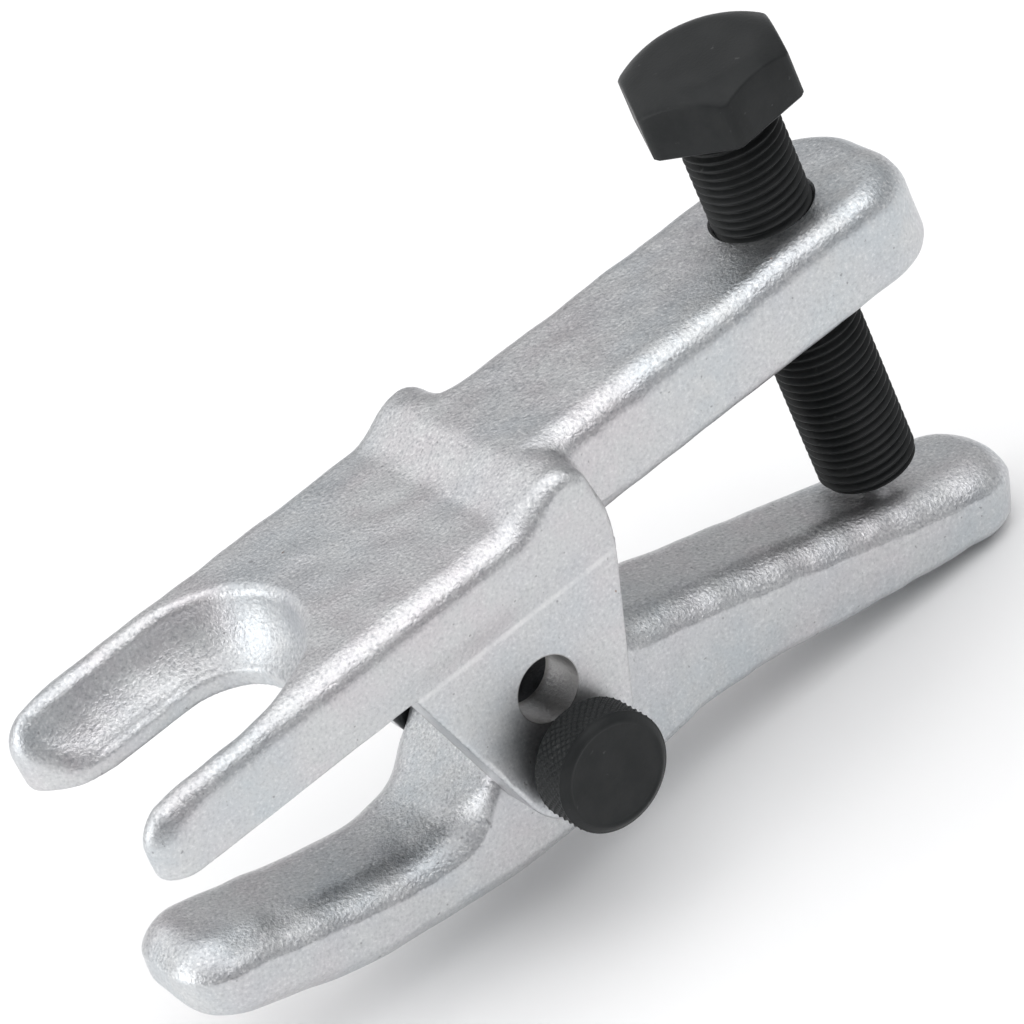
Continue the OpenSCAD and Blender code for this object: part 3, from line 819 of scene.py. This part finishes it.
def black_oxide(name, roughness):
    """Black oxide on machined steel, with a dull oily sheen and small worn specks."""
    material, tree, shader = new_material(name)
    coords = texture_coords(tree)
    cloud = noise(tree, coords, 160, 4, 0.6)
    grain = noise(tree, coords, 1800, 2, 0.6)
    shade = remap(tree, cloud, 0.3, 0.7)
    colour = blend_colour(tree, shade, OXIDE_DARK, OXIDE_LIGHT)
    worn = remap(tree, noise(tree, coords, 620, 2), 0.70, 0.80, 0.0, 0.35)
    colour = blend_colour(tree, worn, colour, OXIDE_WORN)
    tree.links.new(colour, shader.inputs["Base Color"])
    shader.inputs["Metallic"].default_value = 0.1
    shader.inputs["Specular IOR Level"].default_value = 0.2
    sheen = remap(tree, cloud, 0.3, 0.7, roughness - 0.05, roughness + 0.08)
    tree.links.new(sheen, shader.inputs["Roughness"])
    tree.links.new(bump(tree, grain, 0.00006, 0.5), shader.inputs["Normal"])
    return material


def bright_steel(name):
    """Ground and polished hardened steel, with faint smears."""
    material, tree, shader = new_material(name)
    coords = texture_coords(tree)
    smear = noise(tree, coords, 400, 3)
    colour = blend_colour(tree, remap(tree, smear, 0.3, 0.7), STEEL_DARK, STEEL_LIGHT)
    tree.links.new(colour, shader.inputs["Base Color"])
    shader.inputs["Metallic"].default_value = 1.0
    tree.links.new(remap(tree, smear, 0.3, 0.7, 0.12, 0.24), shader.inputs["Roughness"])
    tree.links.new(bump(tree, noise(tree, coords, 2500, 1), 0.00002, 0.4), shader.inputs["Normal"])
    return material


def dress(obj, material):
    obj.data.materials.clear()
    obj.data.materials.append(material)


def dress_node(node, material):
    obj = frame["nodes"][node]
    for slot in obj.material_slots:
        slot.material = material
    if not obj.material_slots:
        obj.data.materials.append(material)


# ---------------------------------------------------------------- camera, floor and light
CAMERA_AT, CAMERA_AIM = (-0.18189, -0.58386, 0.41172), (0.05532, 0.00179, -0.0007)     # metres
CAMERA_ROLL = math.radians(-25.293)
LENS_MM, SENSOR_MM = 179.64, 36
LIT_CENTRE = (0.055, 0, -0.005)
FLOOR_SIZE, FLOOR_GAP = 4000, 0.05
HORIZON, ZENITH = (0.42, 0.42, 0.43, 1), (2.1, 2.1, 2.1, 1)
SKY_LEVELS = [(0.30, 0.44), (0.55, 0.57), (0.72, 0.76), (0.88, 1.2)]         # (height, brightness) between


def make_camera():
    data = bpy.data.cameras.new("camera")
    data.sensor_width, data.lens = SENSOR_MM, LENS_MM
    camera = bpy.data.objects.new("camera", data)
    bpy.context.scene.collection.objects.link(camera)
    camera.location = CAMERA_AT
    look = (Vector(CAMERA_AIM) - camera.location).to_track_quat("-Z", "Y").to_matrix()
    camera.rotation_mode = "QUATERNION"
    camera.rotation_quaternion = (look @ Matrix.Rotation(CAMERA_ROLL, 3, "Z")).to_quaternion()
    data.clip_start, data.clip_end = 0.01, 20
    bpy.context.scene.camera = camera


def make_floor():
    z = cad_box[0].z / MM - FLOOR_GAP
    corners = [(-1, -1), (1, -1), (1, 1), (-1, 1)]
    floor = new_object("floor", [(x * FLOOR_SIZE, y * FLOOR_SIZE, z) for x, y in corners], [(0, 1, 2, 3)])
    material, _, shader = new_material("floor")
    shader.inputs["Base Color"].default_value = (0.95, 0.95, 0.95, 1)
    shader.inputs["Roughness"].default_value = 0.7
    dress(floor, material)


def soft_light(name, direction, distance, size, power):
    data = bpy.data.lights.new(name, "AREA")
    data.shape = "RECTANGLE"
    data.size, data.size_y = size
    data.energy = power
    light = bpy.data.objects.new(name, data)
    bpy.context.scene.collection.objects.link(light)
    centre = Vector(LIT_CENTRE)
    light.location = centre + Vector(direction).normalized() * distance
    light.rotation_mode = "QUATERNION"
    light.rotation_quaternion = (centre - light.location).to_track_quat("-Z", "Y")


def make_lights():
    soft_light("key", (0.314, -0.547, 0.776), 0.9, (0.75, 0.50), 1.7)
    soft_light("left", (-0.90, 0.18, 0.34), 1.0, (0.80, 0.60), 3.7)
    soft_light("back", (-0.38, 0.78, 0.52), 1.1, (1.05, 0.70), 1.4)


def make_world():
    world = bpy.data.worlds.new("studio")
    bpy.context.scene.world = world
    world.use_nodes = True
    tree = world.node_tree
    background = tree.nodes["Background"]
    _, y, z = split(tree, texture_coords(tree, "Generated"))
    sky = tree.nodes.new("ShaderNodeValToRGB")
    tree.links.new(z, sky.inputs["Fac"])
    stops = sky.color_ramp.elements
    stops[0].position, stops[0].color = 0.0, HORIZON
    stops[1].position, stops[1].color = 1.0, ZENITH
    for position, level in SKY_LEVELS:
        stops.new(position).color = (level, level, level * 1.01, 1)
    # a dark flag in front, fading out from 30 to 40 degrees up, gives the round edges their contrast
    flag = product(tree, remap(tree, y, -0.45, -0.72), remap(tree, z, 0.64, 0.50))
    lit = blend_colour(tree, flag, sky.outputs["Color"], (0.25, 0.25, 0.26))
    tree.links.new(lit, background.inputs["Color"])
    background.inputs["Strength"].default_value = 1.0


# ---------------------------------------------------------------- assembly
make_camera()
make_floor()
make_world()
make_lights()

jaw_zinc = zinc_plate("zinc_plate_jaw", True, machined_cheeks, hinge_shades, 0.35)
lever_zinc = zinc_plate("zinc_plate_lever", False, machined_boss, lever_shades, 0.75)
screw_black = black_oxide("black_oxide_screw", 0.42)
pin_black = black_oxide("black_oxide_pin", 0.46)
steel = bright_steel("bright_steel")

PIECES = [
    (make_jaw, "jaw", "upper_jaw", "forged_steel", jaw_zinc),
    (make_lever, "lever", "lower_lever", "forged_steel", lever_zinc),
    (make_screw_shaft, "screw", "forcing_screw", "black_oxide", screw_black),
    (make_hex_head, "screw", "forcing_screw", "black_oxide", screw_black),
    (make_pin, "pin", "pivot_pin", "black_oxide", pin_black),
]
for make, body, node, slot_name, material in PIECES:
    piece = make()
    dress(piece, material)
    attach(piece, body)
    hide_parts(node)
for node in ("thrust_ball", "detent_ball", "detent_spring"):
    dress_node(node, steel)

bpy.context.scene.view_settings.view_transform = "Standard"
